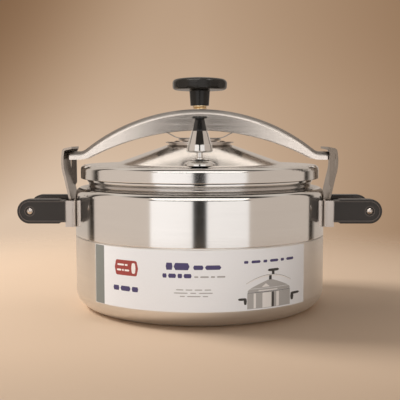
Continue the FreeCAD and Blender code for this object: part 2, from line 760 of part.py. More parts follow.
def make_safety_cap():
    body = new_body("safety_cap")
    bore = "safety_stem_radius + running_gap"
    inside = "safety_thread_radius + snug"
    turn(body, [
        (inside, "lid_top + safety_cap_low"),
        ("safety_cap_radius", "lid_top + safety_cap_low"),
        ("safety_cap_radius", "lid_top + safety_cap_top - edge_large"),
        ("safety_cap_radius - edge_large", "lid_top + safety_cap_top", "edge_large"),
        (bore, "lid_top + safety_cap_top"),
        (bore, "lid_top + safety_cap_ceiling"),
        (inside, "lid_top + safety_cap_ceiling"),
    ])
    place(body, y_text="vent_y")
    return body


def make_safety_plunger():
    body = new_body("safety_plunger")
    turn(body, [
        ("0", "lid_top - safety_bore_deep"),
        ("safety_bore_radius - edge_fine", "lid_top - safety_bore_deep"),
        ("safety_bore_radius - edge_fine", "lid_top"),
        ("safety_stem_radius", "lid_top"),
        ("safety_stem_radius", "lid_top + safety_stem_high - edge_small"),
        ("safety_stem_radius - edge_small", "lid_top + safety_stem_high", "edge_small"),
        ("0", "lid_top + safety_stem_high"),
    ])
    place(body, y_text="vent_y")
    return body


def make_safety_spring():
    """A coil of round wire between the plunger and the cap."""
    body = new_body("safety_spring")
    sketch = new_sketch(body, "XZ_Plane")
    circle(sketch, "safety_coil_radius", "lid_top + safety_wire + small_gap", "safety_wire")
    coil = body.newObject("PartDesign::AdditiveHelix", "safety_coil")
    coil.Profile = (sketch, [""])
    coil.ReferenceAxis = (sketch, ["V_Axis"])
    coil.Mode = "height-turns-growth"
    bind(coil, "Height", "safety_cap_ceiling - 2 * safety_wire - 2 * small_gap")
    bind(coil, "Turns", "safety_coil_turns")
    place(body, y_text="vent_y")
    return body


# ---------------------------------------------------------------- regulator weight

def make_weight_bell():
    """A bell with a cone, a plain collar and the blind bore that sits on the nozzle."""
    body = new_body("weight_bell")
    turn(body, [
        ("weight_cavity_radius", "weight_low"),
        ("weight_mouth_radius", "weight_low"),
        ("weight_radius", "weight_low + weight_chamfer", "weight_mouth_round"),
        ("weight_collar_radius", "weight_collar_top"),
        ("weight_cone_radius", "weight_collar_top + weight_collar_step"),
        ("weight_neck_radius", "weight_shoulder"),
        ("weight_spigot_radius", "weight_shoulder"),
        ("weight_spigot_radius", "weight_shoulder + weight_spigot_high"),
        ("weight_pin_radius", "weight_shoulder + weight_spigot_high"),
        ("weight_pin_radius", "weight_low + weight_cavity_high"),
        ("weight_cavity_radius", "weight_low + weight_cavity_high"),
    ])
    place(body, y_text="-vent_y")
    return body


def make_weight_pin():
    """The needle in the bell; its cone closes the nozzle."""
    body = new_body("weight_pin")
    pin = "weight_pin_radius - snug"
    turn(body, [
        ("0", "vent_stem_top - edge_mid"),
        ("vent_bore_radius", "vent_stem_top + small_gap"),
        (pin, "vent_stem_top + small_gap + edge_small"),
        (pin, "weight_shoulder + weight_spigot_high - edge_mid"),
        ("0", "weight_shoulder + weight_spigot_high - edge_mid"),
    ])
    place(body, y_text="-vent_y")
    return body


def make_weight_cap():
    """The grip of the weight, with a flange at its top."""
    body = new_body("weight_cap")
    low = "weight_shoulder + snug"
    flange = "weight_top - weight_flange_thick"
    socket_radius = "weight_spigot_radius + snug"
    socket_top = "weight_shoulder + weight_spigot_high + small_gap"
    turn(body, [
        (socket_radius, low),
        ("weight_cap_low_radius", low),
        ("weight_cap_low_radius", low + " + weight_cap_edge"),
        ("weight_cap_high_radius", flange + " - weight_flange_rise", "weight_cap_round"),
        ("weight_flange_radius - edge_small", flange + " - edge_small",
         "-weight_flange_round"),
        ("weight_flange_radius", flange, "edge_small"),
        ("weight_flange_radius", "weight_top - weight_cap_edge"),
        ("weight_flange_radius - weight_cap_edge", "weight_top", "weight_cap_edge"),
        ("0", "weight_top"),
        ("0", socket_top),
        (socket_radius, socket_top),
    ])
    place(body, y_text="-vent_y")
    return body


# ---------------------------------------------------------------- foot, leaf and screw

def make_pressure_foot():
    body = new_body("pressure_foot")
    low = "cone_top_height + plate_thick - foot_recess"
    turn(body, [
        ("clip_room", low),
        ("foot_recess_radius - edge_small", low),
        ("foot_recess_radius - edge_small", "foot_disc_low"),
        ("foot_radius", "foot_disc_low"),
        ("foot_radius", "foot_disc_high - edge_small"),
        ("foot_radius - edge_small", "foot_disc_high", "edge_small"),
        ("hub_radius", "foot_disc_high"),
        ("hub_radius", "hub_high - edge_small"),
        ("hub_radius - edge_small", "hub_high", "edge_small"),
        ("journal_radius + running_gap", "hub_high"),
        ("journal_radius + running_gap", low + " + clip_room_high"),
        ("clip_room", low + " + clip_room_high"),
    ])
    return body


def make_leaf_spring():
    """A spring strip on the foot whose two ends rise to the crown of the arch."""
    body = new_body("leaf_spring")
    low = "(foot_disc_high + snug)"
    slope = "leaf_rise_angle * 1 deg"
    tight = "(leaf_round - leaf_thick)"
    under_x = "(leaf_flat + leaf_round * sin(%s))" % slope
    under_z = "(%s + leaf_round * (1 - cos(%s)))" % (low, slope)
    over_x = "(leaf_flat + %s * sin(%s))" % (tight, slope)
    over_z = "(%s + leaf_thick + %s * (1 - cos(%s)))" % (low, tight, slope)
    end_z = "(%s + (leaf_reach - %s) * tan(%s))" % (under_z, under_x, slope)
    tip_x = "(leaf_reach - leaf_thick * sin(%s))" % slope
    tip_z = "(%s + leaf_thick * cos(%s))" % (end_z, slope)
    sketch = new_sketch(body, "XZ_Plane")
    outline(sketch, [
        ("leaf_flat", low),
        (under_x, under_z, "leaf_round"),
        ("leaf_reach", end_z),
        (tip_x, tip_z),
        (over_x, over_z),
        ("leaf_flat", low + " + leaf_thick", "-" + tight),
        ("-leaf_flat", low + " + leaf_thick"),
        ("-" + over_x, over_z, "-" + tight),
        ("-" + tip_x, tip_z),
        ("-leaf_reach", end_z),
        ("-" + under_x, under_z),
        ("-leaf_flat", low, "leaf_round"),
    ])
    pad(body, sketch, "leaf_half_width * 2", both_ways=True)
    drill(body, "XY_Plane", [("0", "0")], "hub_radius + snug", "2 * drill_clear",
          height="foot_disc_high + drill_clear")
    return body


def make_clamp_screw():
    body = new_body("clamp_screw")
    turn(body, [
        ("0", "hub_high - journal_deep"),
        ("journal_radius - edge_fine", "hub_high - journal_deep"),
        ("journal_radius", "hub_high - journal_deep + edge_fine"),
        ("journal_radius", "hub_high"),
        ("screw_radius", "hub_high"),
        ("screw_radius", "knob_low"),
        ("knob_socket_radius", "knob_low"),
        ("knob_socket_radius", "knob_socket_top - small_gap"),
        ("0", "knob_socket_top - small_gap"),
    ])
    return body


def make_foot_clip():
    """A retaining ring on the end of the screw, below the foot."""
    body = new_body("foot_clip")
    low = "hub_high - clip_low"
    turn(body, [
        ("journal_radius + snug", low),
        ("clip_radius", low),
        ("clip_radius", low + " + clip_thick"),
        ("journal_radius + snug", low + " + clip_thick"),
    ])
    return body


def make_knob():
    body = new_body("knob")
    socket = "knob_socket_radius + snug"
    low = "knob_low + snug"
    turn(body, [
        (socket, low),
        ("knob_neck_low_radius - edge_small", low),
        ("knob_neck_low_radius", low + " + edge_small", "edge_small"),
        ("knob_neck_high_radius", "knob_neck_top - knob_neck_round"),
        ("knob_neck_high_radius + knob_neck_round", "knob_neck_top", "-knob_neck_round"),
        ("knob_under_radius", "knob_neck_top + knob_under_rise"),
        ("knob_radius - edge_fine", "knob_neck_top + knob_side_low", "knob_under_round"),
        ("knob_radius", "knob_top - knob_side_high"),
        ("knob_crown_radius", "knob_top - knob_crown", "knob_edge_round"),
        ("0", "knob_top", dome_radius("knob_crown_radius", "knob_crown")),
        ("0", "knob_socket_top"),
        (socket, "knob_socket_top"),
    ])
    reach = "(knob_radius + flute_radius - flute_deep)"
    count = int(value("flute_count"))
    turns = ["(%d * 360 / %d + flute_turn) * 1 deg" % (number, count)
             for number in range(count)]
    flutes = [(reach + " * cos(%s)" % turned, reach + " * sin(%s)" % turned)
              for turned in turns]
    for flute in flutes:
        drill(body, "XY_Plane", [flute], "flute_radius", "drill_through",
              height="knob_neck_top + knob_under_rise", upward=True)
    return body


# ---------------------------------------------------------------- arch

def make_arch_bridge():
    """A pressed channel, open below: a bowed crown and two flat lugs."""
    body = new_body("arch_bridge")
    top_x = "sqrt(crown_round^2 - (crown_round - crown_top + lug_top)^2)"
    low_x = "sqrt(web_round^2 - (web_round - web_top + lug_low)^2)"
    sketch = new_sketch(body, "XZ_Plane")
    outline(sketch, [
        ("lug_end", "lug_low"),
        ("lug_end", "lug_top"),
        (top_x, "lug_top"),
        ("-" + top_x, "lug_top", "crown_round"),
        ("-lug_end", "lug_top"),
        ("-lug_end", "lug_low"),
        ("-" + low_x, "lug_low"),
        (low_x, "lug_low", "-web_round"),
    ])
    pad(body, sketch, "arch_half_width * 2", both_ways=True)
    for side in ("", "-"):
        blend(body, "arch_bend", near(side + top_x, "lug_top"))
        blend(body, "arch_low_bend", near(side + low_x, "lug_low"))
    blend(body, "arch_edge_round", lambda edge: (
        edge.BoundBox.YLength < 0.01
        and edge.BoundBox.ZMax > value("lug_top") - 0.01
        and edge.BoundBox.XLength > 1
        and edge.CenterOfMass.z > value("lug_top") - 0.5
        and not on_low_edge(edge)))
    for side in ("", "-"):
        blend(body, "lug_round", near(side + "lug_end", "lug_top", 0.2))
    inner = new_sketch(body, "XZ_Plane")
    inner_round = "(crown_round - arch_sheet)"
    inner_x = ("sqrt(%s^2 - (crown_round - crown_top + lug_top - arch_sheet)^2)"
               % inner_round)
    end = "lug_end - arch_sheet"
    outline(inner, [
        (end, "lug_low - 2 * drill_clear"),
        (end, "lug_top - arch_sheet"),
        (inner_x, "lug_top - arch_sheet"),
        ("-" + inner_x, "lug_top - arch_sheet", inner_round),
        ("-(%s)" % end, "lug_top - arch_sheet"),
        ("-(%s)" % end, "lug_low - 2 * drill_clear"),
    ])
    pocket(body, inner, "arch_half_width * 2 - arch_sheet * 2", both_ways=True)
    drill(body, "XY_Plane", [("0", "0")], "nut_collar_radius", "4 * drill_clear",
          height="crown_top + drill_clear")
    return body


def on_low_edge(edge):
    """Whether an edge of the arch belongs to the lower outline of its web."""
    middle = edge.valueAt((edge.FirstParameter + edge.LastParameter) / 2)
    depth = value("web_round") - value("web_top") + middle.z
    return abs(math.hypot(middle.x, depth) - value("web_round")) < 1


def make_spindle_nut():
    """The threaded bush: a hexagon under the crown and a collar through it."""
    body = new_body("spindle_nut")
    seat = "(crown_top - arch_sheet - edge_small)"
    sketch = new_sketch(body, "XY_Plane", "nut_low")
    hexagon(sketch, "0", "0", "nut_radius")
    pad(body, sketch, seat + " - nut_low")
    collar = new_sketch(body, "XY_Plane", seat)
    circle(collar, "0", "0", "nut_collar_radius - snug")
    pad(body, collar, "crown_top - %s - small_gap" % seat)
    drill(body, "XY_Plane", [("0", "0")], "screw_radius + running_gap", "drill_through",
          height="crown_top + drill_clear")
    return body


# ---------------------------------------------------------------- build and write

def make_all():
    return [
        make_pot_shell(),
        make_label(),
        make_hook("hook_right", False),
        make_hook("hook_left", True),
        make_bracket("handle_bracket_right", False),
        make_bracket("handle_bracket_left", True),
        make_hook_rivets(),
        make_arm("handle_arm_right_front", None),
        make_arm("handle_arm_right_rear", (1, 0, 0)),
        make_arm("handle_arm_left_front", (0, 1, 0)),
        make_arm("handle_arm_left_rear", (0, 0, 1)),
        make_grip("handle_grip_right", ""),
        make_grip("handle_grip_left", "-"),
        make_handle_bolts(),
        make_handle_nuts(),
        make_lid_shell(),
        make_lid_gasket(),
        make_thrust_plate(),
        make_plate_rivets(),
        make_vent_nozzle(),
        make_vent_washer(),
        seal_ring("vent_seal", "-vent_y", "vent_thread_radius", "vent_seal_radius"),
        hex_nut("vent_nut", "-vent_y", "vent_thread_radius", "vent_nut_radius"),
        make_safety_body(),
        seal_ring("safety_seal", "vent_y", "safety_thread_radius", "safety_seal_radius"),
        hex_nut("safety_nut", "vent_y", "safety_thread_radius", "safety_nut_radius"),
        make_safety_cap(),
        make_safety_spring(),
        make_safety_plunger(),
        make_weight_bell(),
        make_weight_pin(),
        make_weight_cap(),
        make_pressure_foot(),
        make_leaf_spring(),
        make_clamp_screw(),
        make_foot_clip(),
        make_knob(),
        make_arch_bridge(),
        make_spindle_nut(),
    ]


def check(nodes):
    """Stop if any object failed or any shape is empty or broken."""
    for item in doc.Objects:
        if "Invalid" in item.State or "Error" in item.State:
            raise RuntimeError("%s failed: %s" % (item.Label, item.State))
    for node in nodes:
        if node.Shape.isNull() or not node.Shape.isValid():
            raise RuntimeError("%s has no valid shape" % node.Label)


nodes = make_all()
doc.recompute()
check(nodes)
os.makedirs("parts", exist_ok=True)
for node in nodes:
    node.Shape.exportStep("parts/%s.step" % node.Label)
    box = node.Shape.BoundBox
    print("%-24s %2d solid(s) %10.1f mm3  x %7.1f %7.1f  y %7.1f %7.1f  z %6.1f %6.1f" % (
        node.Label, len(node.Shape.Solids), node.Shape.Volume,
        box.XMin, box.XMax, box.YMin, box.YMax, box.ZMin, box.ZMax))
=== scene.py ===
import json
import math

import bmesh
import bpy
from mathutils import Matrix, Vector


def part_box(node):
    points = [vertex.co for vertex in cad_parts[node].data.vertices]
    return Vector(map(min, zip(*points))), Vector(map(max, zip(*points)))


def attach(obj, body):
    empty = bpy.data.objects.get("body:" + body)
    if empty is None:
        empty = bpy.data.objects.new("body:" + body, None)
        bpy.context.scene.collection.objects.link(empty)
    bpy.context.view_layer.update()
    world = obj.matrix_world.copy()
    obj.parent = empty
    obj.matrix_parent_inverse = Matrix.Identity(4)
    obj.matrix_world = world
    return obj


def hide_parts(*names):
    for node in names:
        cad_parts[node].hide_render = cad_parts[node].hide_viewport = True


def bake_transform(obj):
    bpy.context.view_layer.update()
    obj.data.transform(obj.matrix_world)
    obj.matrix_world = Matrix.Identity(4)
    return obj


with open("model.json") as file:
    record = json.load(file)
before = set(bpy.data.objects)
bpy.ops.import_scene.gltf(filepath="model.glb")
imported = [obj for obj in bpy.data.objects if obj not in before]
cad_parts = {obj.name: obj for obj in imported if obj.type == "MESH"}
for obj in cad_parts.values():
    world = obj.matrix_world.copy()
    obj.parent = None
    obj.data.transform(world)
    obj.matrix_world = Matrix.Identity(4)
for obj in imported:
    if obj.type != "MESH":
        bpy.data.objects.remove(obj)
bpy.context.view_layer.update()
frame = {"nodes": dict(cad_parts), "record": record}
CAD = frame["nodes"]

# ---------------------------------------------------------------- node helpers


def node(tree, kind, inputs=None, **settings):
    """A shader node, with its sockets linked or set."""
    made = tree.nodes.new(kind)
    for name, setting in settings.items():
        setattr(made, name, setting)
    for key, source in (inputs or {}).items():
        feed(tree, source, made.inputs[key])
    return made


def feed(tree, source, socket):
    """Link a socket to another, or set its value."""
    if isinstance(source, bpy.types.NodeSocket):
        tree.links.new(source, socket)
    else:
        socket.default_value = source


def calc(tree, operation, *terms):
    """The result of a Math node."""
    return node(tree, "ShaderNodeMath", dict(enumerate(terms)),
                operation=operation).outputs[0]


def plus(tree, first, second):
    return calc(tree, "ADD", first, second)


def times(tree, first, second):
    return calc(tree, "MULTIPLY", first, second)


def within(tree, source, low, high):
    """The source, held between low and high."""
    return calc(tree, "MINIMUM", calc(tree, "MAXIMUM", source, low), high)


def length_of(tree, first, second):
    """The length of a flat vector."""
    return calc(tree, "SQRT", plus(tree, times(tree, first, first),
                                   times(tree, second, second)))


def vary(tree, level, *patterns):
    """A level with each (pattern, amount) added."""
    for pattern, amount in patterns:
        level = plus(tree, level, times(tree, pattern, amount))
    return level


def step(tree, source, low, high, start=0.0, end=1.0):
    """Go smoothly from start to end as the source goes from low to high."""
    made = node(tree, "ShaderNodeMapRange",
                {"Value": source, "From Min": low, "From Max": high,
                 "To Min": start, "To Max": end}, interpolation_type="SMOOTHSTEP")
    return made.outputs["Result"]


def mix(tree, factor, first, second):
    """A blend of two colours."""
    made = tree.nodes.new("ShaderNodeMix")
    made.data_type = "RGBA"
    colours = [socket for socket in made.inputs if socket.type == "RGBA"]
    feed(tree, factor, made.inputs[0])
    feed(tree, first, colours[0])
    feed(tree, second, colours[1])
    return [socket for socket in made.outputs if socket.type == "RGBA"][0]


def ramp(tree, source, stops):
    """A smooth colour ramp of (position, colour) stops."""
    made = node(tree, "ShaderNodeValToRGB", {"Fac": source})
    elements = made.color_ramp.elements
    while len(elements) < len(stops):
        elements.new(0.5)
    for element, (position, colour) in zip(elements, stops):
        element.position = position
        element.color = colour
    return made.outputs["Color"]


def shade_of(colour, share):
    """The colour with its light brought to that share."""
    return [part * share for part in colour[:3]] + [1]


def place_of(tree):
    """The point on the piece, in the row frame, and its x, y and z."""
    point = node(tree, "ShaderNodeTexCoord").outputs["Object"]
    parts = node(tree, "ShaderNodeSeparateXYZ", {0: point})
    return [point] + list(parts.outputs)


def combine(tree, x, y, z):
    """A vector of three numbers."""
    return node(tree, "ShaderNodeCombineXYZ", {0: x, 1: y, 2: z}).outputs[0]


def noise(tree, vector, scale=1.0, detail=3.0, rough=0.5):
    """A cloudy pattern from 0 to 1."""
    made = node(tree, "ShaderNodeTexNoise",
                {"Vector": vector, "Scale": scale, "Detail": detail, "Roughness": rough})
    return made.outputs["Fac"]


def bump(tree, height, depth, strength):
    """A bump of that depth in metres."""
    made = node(tree, "ShaderNodeBump",
                {"Height": height, "Distance": depth, "Strength": strength})
    return made.outputs["Normal"]


def new_material(name):
    """A material, its node tree and its shader."""
    made = bpy.data.materials.new(name)
    made.use_nodes = True
    return made, made.node_tree, made.node_tree.nodes["Principled BSDF"]


def set_shader(tree, shader, **inputs):
    """Set the shader's sockets by name, with _ for a space."""
    for name, source in inputs.items():
        feed(tree, source, shader.inputs[name.replace("_", " ")])


def grain_about_z(tree, across, along):
    """A vector for lines that run round the Z axis, across lines to a metre."""
    x, y, z = place_of(tree)[1:]
    return combine(tree, times(tree, calc(tree, "ARCTAN2", y, x), along),
                   times(tree, length_of(tree, x, y), across), times(tree, z, across))


def brush_round_z(tree, shader):
    """Smear the reflections up and down, as brushing round the Z axis does."""
    tangent = node(tree, "ShaderNodeTangent", direction_type="RADIAL", axis="Z")
    set_shader(tree, shader, Tangent=tangent.outputs[0], Anisotropic_Rotation=0.25)


# ---------------------------------------------------------------- materials

ALUMINIUM = (0.86, 0.85, 0.83, 1)
ALUMINIUM_DULL = (0.77, 0.76, 0.745, 1)
# painted shade: the darker colour of the pot's neck under the lid
ALUMINIUM_PAINTED_NECK_SHADE = (0.56, 0.54, 0.52, 1)
ARCH_METAL = (0.95, 0.885, 0.825, 1)
STEEL = (0.74, 0.68, 0.63, 1)
# painted shade: both hooks' steel is darkened for their shadow and dark reflections, the
# left hook more than the right
HOOK_STEEL_PAINTED_SHADE = (0.24, 0.205, 0.175, 1)
HOOK_STEEL_RIGHT_PAINTED_SHADE = (0.30, 0.25, 0.205, 1)
CHROME = (0.83, 0.82, 0.80, 1)
BRASS = (0.90, 0.72, 0.47, 1)

POT_GROOVE = 0.0805
# heights of the pot's neck, given painted shade and more roughness
POT_NECK_SHADE_BAND = (0.1328, 0.1392)
ARM_BORDER = 0.0028
COUNTERBORE_RADIUS = 0.0052


def make_spun(name, polished, satin, satin_below=None, shaded_neck_between=None):
    """Spun aluminium: fine lines round the axis, polished above a height and satin below.

    Between the two heights given last, the metal is rougher, and its colour is darker as
    painted shade in the neck's recess under the lid.
    """
    made, tree, shader = new_material(name)
    point, _, _, z = place_of(tree)
    lines = noise(tree, grain_about_z(tree, 1400, 5), detail=2)
    bands = noise(tree, grain_about_z(tree, 160, 1.2), detail=3)
    cloud = noise(tree, point, 28, 4, 0.6)
    rough = vary(tree, polished - 0.05, (lines, 0.06), (cloud, 0.04))
    if satin_below is not None:
        zone = step(tree, z, satin_below - 0.0004, satin_below + 0.0004, 1, 0)
        rough = vary(tree, rough, (zone, vary(tree, satin - polished, (bands, 0.06))))
    tint = mix(tree, times(tree, bands, 0.5), ALUMINIUM, ALUMINIUM_DULL)
    if shaded_neck_between is not None:
        low, high = shaded_neck_between
        # painted shade: the neck is darkened in colour, and also made rougher
        rough_and_shaded = times(tree, step(tree, z, low, low + 0.001),
                     step(tree, z, high - 0.0005, high, 1, 0))
        tint = mix(tree, rough_and_shaded, tint, ALUMINIUM_PAINTED_NECK_SHADE)
        rough = vary(tree, rough, (rough_and_shaded, 0.1))
    set_shader(tree, shader, Base_Color=tint, Metallic=1.0, Roughness=rough,
               Anisotropic=0.45, Normal=bump(tree, lines, 0.000012, 0.5))
    brush_round_z(tree, shader)
    return made


def make_brushed(name, colour, roughness, stretch, anisotropic=0.3, depth=0.00002,
                 lengthwise=False, front_edge=None):
    """Brushed metal; stretch gives the lines to a metre along each axis.

    lengthwise smears reflections up and down only, as brushing along the piece does,
    and leaves the bend at the top of the piece rougher and darker, the darkening being
    painted shade. front_edge is the y of the front edge, painted brighter as painted light.
    """
    made, tree, shader = new_material(name)
    point, _, y, _ = place_of(tree)
    scaled = node(tree, "ShaderNodeMapping", {"Vector": point, "Scale": stretch})
    lines = noise(tree, scaled.outputs[0], 1, 3)
    cloud = noise(tree, point, 60, 3, 0.6)
    rough = vary(tree, roughness - 0.07, (lines, 0.1), (cloud, 0.05))
    tint = mix(tree, cloud, colour, shade_of(colour, 0.86))
    # painted light: the hook's front edge is painted brighter than the rest
    if front_edge is not None:
        tint = mix(tree, step(tree, y, front_edge, front_edge + 0.0004, 1, 0),
                   tint, shade_of(colour, 2.1))
    if lengthwise:
        face = node(tree, "ShaderNodeNewGeometry").outputs["Normal"]
        upward = node(tree, "ShaderNodeSeparateXYZ", {0: face}).outputs[2]
        # painted shade: upward faces, the bend at the top, are darkened; they are also made
        # rougher
        bend = step(tree, upward, 0.05, 0.5)
        tint = mix(tree, bend, tint, shade_of(colour, 0.5))
        rough = vary(tree, rough, (bend, 0.3))
        brush_round_z(tree, shader)
    set_shader(tree, shader, Base_Color=tint, Metallic=1.0, Roughness=rough,
               Anisotropic=anisotropic, Normal=bump(tree, lines, depth, 0.6))
    return made


def make_moulded(name, colour, worn, roughness, grain_depth, shine=0.5, arm_end=None):
    """Moulded black plastic or Bakelite with a fine skin and slightly worn colour.

    arm_end is (x, z, radius) of the round end of the right handle arm: the edges of its
    recess and of the bolt's counterbore get a pale painted highlight, and so do those on
    the left.
    """
    made, tree, shader = new_material(name)
    point, x, _, z = place_of(tree)
    cloud = noise(tree, point, 45, 4, 0.6)
    skin = noise(tree, point, 1800, 2)
    tint = mix(tree, cloud, colour, worn)
    if arm_end:
        end_x, end_z, radius = arm_end
        out = calc(tree, "SUBTRACT", calc(tree, "ABSOLUTE", x), end_x)
        up = calc(tree, "SUBTRACT", z, end_z)
        for reach, past in ((radius - ARM_BORDER, calc(tree, "MAXIMUM", out, 0)),
                            (COUNTERBORE_RADIUS, out)):
            away = length_of(tree, past, up)
            off = calc(tree, "ABSOLUTE", calc(tree, "SUBTRACT", away, reach))
            # painted highlight: a pale line along the recess edge and round the counterbore
            line = step(tree, off, 0.0002, 0.0005, 1, 0)
            tint = mix(tree, line, tint, shade_of(colour, 7))
    set_shader(tree, shader, Base_Color=tint,
               Roughness=vary(tree, roughness - 0.05, (cloud, 0.1)),
               IOR=1.55, Specular_IOR_Level=shine,
               Normal=bump(tree, skin, grain_depth, 0.4))
    return made


def make_print(name, colour, roughness=0.5):
    """Paper or printed ink with a faint fibre."""
    made, tree, shader = new_material(name)
    point = place_of(tree)[0]
    fibre = noise(tree, point, 900, 3, 0.6)
    pale = [min(1, part * 1.05 + 0.01) for part in colour[:3]] + [1]
    set_shader(tree, shader, Base_Color=mix(tree, fibre, colour, pale),
               Roughness=roughness, Normal=bump(tree, fibre, 0.00001, 0.4))
    return made


def make_materials():
    """The finishes, by CAD node where it has its own, or else by slot."""
    (_, _, arm_low), (arm_tip, _, arm_high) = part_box("handle_arm_right_front")
    radius = (arm_high - arm_low) / 2
    return {
        "pot_shell": make_spun("pot_aluminium", 0.12, 0.38, POT_GROOVE, POT_NECK_SHADE_BAND),
        "polished_aluminium": make_spun("lid_aluminium", 0.15, 0.3),
        "arch_bridge": make_brushed("arch_steel", ARCH_METAL, 0.24, (9, 520, 520),
                                    anisotropic=0.8, depth=0.00006, lengthwise=True),
        "pressed_steel": make_brushed("pressed_steel", STEEL, 0.3, (900, 900, 30)),
        "hook_left": make_brushed("hook_steel", HOOK_STEEL_PAINTED_SHADE, 0.2, (500, 500, 24),
                                  front_edge=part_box("hook_left")[0][1]),
        "hook_right": make_brushed("hook_steel_right", HOOK_STEEL_RIGHT_PAINTED_SHADE, 0.22,
                                   (500, 500, 24)),
        "fastener_steel": make_brushed("fastener_steel", STEEL, 0.22, (500, 500, 500)),
        "spring_steel": make_brushed("spring_steel", (0.42, 0.40, 0.38, 1), 0.35,
                                     (60, 900, 900)),
        "chromed_brass": make_brushed("chrome", CHROME, 0.09, (300, 300, 300),
                                      anisotropic=0, depth=0.000002),
        "brass": make_brushed("brass", BRASS, 0.25, (300, 300, 2500)),
        "black_bakelite": make_moulded(
            "black_bakelite", (0.015, 0.012, 0.0105, 1), (0.024, 0.020, 0.017, 1),
            0.34, 0.00003, 0.4, (arm_tip - radius, arm_low + radius, radius)),
        "knob": make_moulded("knob_bakelite", (0.0075, 0.0068, 0.0055, 1),
                             (0.012, 0.0105, 0.0085, 1), 0.24, 0.00001, 0.3),
        "black_plastic": make_moulded("black_plastic", (0.012, 0.012, 0.012, 1),
                                      (0.018, 0.017, 0.016, 1), 0.14, 0.000004),
        "seal_rubber": make_moulded("seal_rubber", (0.05, 0.05, 0.05, 1),
                                    (0.08, 0.08, 0.08, 1), 0.7, 0.00004),
        "label_paper": make_print("label_paper", (0.72, 0.73, 0.75, 1)),
    }


def dress_cad(materials):
    """Give each CAD node its own finish, or else the one of its slot."""
    for part in frame["record"]["subparts"]:
        name = part["node"]
        mesh = CAD[name].data
        mesh.materials.clear()
        mesh.materials.append(materials.get(name) or materials[part["material_slot"]])


# ---------------------------------------------------------------- pieces

PIECES = []


def add_piece(name, mesh, material, body, replaced=()):
    """Put a finished mesh in the scene, as a piece of that body if one is given, and hide
    the CAD nodes it replaces.
    """
    piece = bpy.data.objects.new(name, mesh)
    bpy.context.scene.collection.objects.link(piece)
    mesh.materials.append(material)
    if body:
        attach(piece, body)
    if replaced:
        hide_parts(*replaced)
    PIECES.append(piece)
    return piece


def mesh_of(name, points, faces, smooth_degrees=35):
    """A clean mesh with outward faces, smooth except along its sharp edges."""
    made = bmesh.new()
    corners = [made.verts.new(point) for point in points]
    for face in faces:
        made.faces.new([corners[number] for number in face])
    bmesh.ops.remove_doubles(made, verts=made.verts, dist=1e-7)
    bmesh.ops.dissolve_degenerate(made, edges=made.edges, dist=1e-8)
    bmesh.ops.recalc_face_normals(made, faces=made.faces)
    for face in made.faces:
        face.smooth = True
    for edge in made.edges:
        if len(edge.link_faces) == 2:
            edge.smooth = edge.calc_face_angle() < math.radians(smooth_degrees)
    mesh = bpy.data.meshes.new(name)
    made.to_mesh(mesh)
    made.free()
    return mesh


def tube(name, points, sides, smooth_degrees=35):
    """A closed mesh over rings of points, that many to a ring."""
    faces = []
    rings = len(points) // sides
    for ring in range(rings - 1):
        for side in range(sides):
            after = (side + 1) % sides
            faces.append((ring * sides + side, ring * sides + after,
                          (ring + 1) * sides + after, (ring + 1) * sides + side))
    faces.append(tuple(range(sides)))
    faces.append(tuple(range((rings - 1) * sides, rings * sides)))
    return mesh_of(name, points, faces, smooth_degrees)


def lathe(name, section, steps, radius_at):
    """A solid of revolution from a closed section of (radius, height) points.

    radius_at(radius, height, share of a turn) gives the radius at each vertex.
    """
    points = []
    for radius, height in section:
        for number in range(steps):
            share = number / steps
            reach = radius_at(radius, height, share)
            angle = 2 * math.pi * share
            points.append((reach * math.cos(angle), reach * math.sin(angle), height))
    return tube(name, points, steps)


SCREW_PITCH = 0.003
THREAD_DEPTH = 0.0016
THREAD_FLAT, THREAD_FLANK = 0.14, 0.17  # shares of the pitch
ROWS_PER_PITCH = 14


def make_screw(material):
    """The clamp screw with its trapezoidal thread, between the foot and the knob."""
    (_, _, low), (crest, _, high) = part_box("clamp_screw")
    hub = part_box("pressure_foot")[1][2]
    knob_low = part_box("knob")[0][2]
    tip, journal, socket, chamfer, plain = 0.0005, 0.004, 0.0055, 0.0003, 0.001
    rows = round((knob_low - hub - 2 * plain) / SCREW_PITCH * ROWS_PER_PITCH)

    def groove(radius, height, share):
        """The thread's radius: a flat crest, two flanks and a flat root."""
        if radius < crest - 1e-6 or not hub + plain < height < knob_low - plain:
            return radius
        phase = (height / SCREW_PITCH - share) % 1
        rise = min(max((abs(phase - 0.5) - THREAD_FLAT) / THREAD_FLANK, 0), 1)
        ends = min(height - hub - plain, knob_low - plain - height) / SCREW_PITCH
        return radius - THREAD_DEPTH * (1 - rise) * min(ends * 2, 1)

    section = [(tip, low), (journal - chamfer, low), (journal, low + chamfer),
               (journal, hub), (crest, hub)]
    section += [(crest, hub + plain + (knob_low - hub - 2 * plain) * row / rows)
                for row in range(rows + 1)]
    section += [(crest, knob_low), (socket, knob_low), (socket, high), (tip, high)]
    mesh = lathe("clamp_screw_threaded", section, 72, groove)
    add_piece("clamp_screw_threaded", mesh, material, "screw", ["clamp_screw"])


